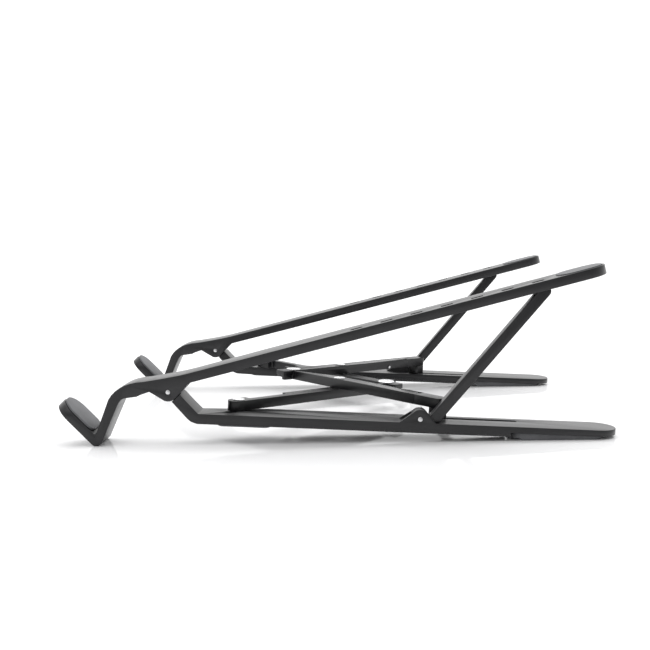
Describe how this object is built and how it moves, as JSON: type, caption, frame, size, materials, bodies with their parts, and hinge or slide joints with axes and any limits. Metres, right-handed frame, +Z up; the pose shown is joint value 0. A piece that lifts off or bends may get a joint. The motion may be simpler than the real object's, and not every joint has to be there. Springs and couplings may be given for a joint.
{
  "type": "tablet stand",
  "caption": "Foldable stand that leans a tablet or small laptop on two hooked ramp arms, with propped base arms joined by a scissor of links.",
  "frame": {"origin": "on the resting surface, under the middle of the unfolded stand", "axes": "+X from the hooks to the raised rear end, +Y to the left of someone using the tablet, +Z up"},
  "size_m": [0.269, 0.172, 0.0831],
  "materials": {
    "arm_plastic": "fine satin texture",
    "link_plastic": "satin",
    "rubber": "matte",
    "steel": "polished ends",
    "rivet_aluminium": "bright"
  },
  "bodies": {
    "right_base": {"right_base_arm": "arm_plastic", "right_rear_foot": "rubber", "right_front_pad": "rubber", "right_hinge_pin": "steel", "right_strut_pin": "steel", "right_front_rivet": "rivet_aluminium"},
    "right_ramp": {"right_top_arm": "arm_plastic", "right_hook_pad": "rubber", "right_rear_pad": "rubber"},
    "right_prop": {"right_strut": "arm_plastic"},
    "right_lower": {"right_lower_link": "link_plastic", "right_crossing_rivet": "rivet_aluminium", "rear_apex_rivet": "rivet_aluminium"},
    "right_upper": {"right_upper_link": "link_plastic", "right_end_block": "link_plastic", "right_side_pin": "steel", "right_slider_shoe": "link_plastic", "right_slider_post": "steel", "front_apex_rivet": "rivet_aluminium"},
    "left_base": {"left_base_arm": "arm_plastic", "left_rear_foot": "rubber", "left_front_pad": "rubber", "left_hinge_pin": "steel", "left_strut_pin": "steel", "left_front_rivet": "rivet_aluminium"},
    "left_ramp": {"left_top_arm": "arm_plastic", "left_hook_pad": "rubber", "left_rear_pad": "rubber"},
    "left_prop": {"left_strut": "arm_plastic"},
    "left_lower": {"left_lower_link": "link_plastic", "left_crossing_rivet": "rivet_aluminium"},
    "left_upper": {"left_upper_link": "link_plastic", "left_end_block": "link_plastic", "left_side_pin": "steel", "left_slider_shoe": "link_plastic", "left_slider_post": "steel"}
  },
  "joints": [
    {"name": "fold", "type": "hinge", "parent": "right_base", "child": "right_lower", "pos_m": [-0.0478, -0.072, 0.01413], "axis": [0.0553, 0, 0.9985], "range_deg": [-35.81, 0]},
    {"name": "right_crossing", "type": "hinge", "parent": "right_lower", "child": "right_upper", "pos_m": [0.00083, -0.02527, 0.01144], "axis": [0.0553, 0, 0.9985], "range_deg": [0, 71.62]},
    {"name": "rear_apex", "type": "hinge", "parent": "right_lower", "child": "left_lower", "pos_m": [0.02713, 0, 0.00998], "axis": [0.0553, 0, 0.9985], "range_deg": [0, 71.62]},
    {"name": "front_apex", "type": "hinge", "parent": "right_upper", "child": "left_upper", "pos_m": [-0.02547, 0, 0.01289], "axis": [0.0553, 0, 0.9985], "range_deg": [-71.62, 0]},
    {"name": "left_front_pivot", "type": "hinge", "parent": "left_lower", "child": "left_base", "pos_m": [-0.0478, 0.072, 0.01413], "axis": [0.0553, 0, 0.9985], "range_deg": [-35.81, 0]},
    {"name": "right_tilt", "type": "hinge", "parent": "right_base", "child": "right_ramp", "pos_m": [-0.0795, -0.076, 0.0258], "axis": [0, -1, 0], "range_deg": [0, 14]},
    {"name": "right_prop_turn", "type": "hinge", "parent": "right_base", "child": "right_prop", "pos_m": [0.0402, -0.0802, 0.011], "axis": [0, -1, 0], "range_deg": [0, 36.68]},
    {"name": "left_tilt", "type": "hinge", "parent": "left_base", "child": "left_ramp", "pos_m": [-0.0795, 0.076, 0.0258], "axis": [0, -1, 0], "range_deg": [0, 14]},
    {"name": "left_prop_turn", "type": "hinge", "parent": "left_base", "child": "left_prop", "pos_m": [0.0402, 0.0802, 0.011], "axis": [0, -1, 0], "range_deg": [0, 36.68]}
  ],
  "couplings": [
    {"joint": "right_crossing", "follows": "fold", "ratio": -2},
    {"joint": "rear_apex", "follows": "fold", "ratio": -2},
    {"joint": "front_apex", "follows": "fold", "ratio": 2},
    {"joint": "left_front_pivot", "follows": "fold", "ratio": 1},
    {"joint": "right_prop_turn", "follows": "right_tilt", "ratio": 2.62},
    {"joint": "left_prop_turn", "follows": "left_tilt", "ratio": 2.62}
  ]
}
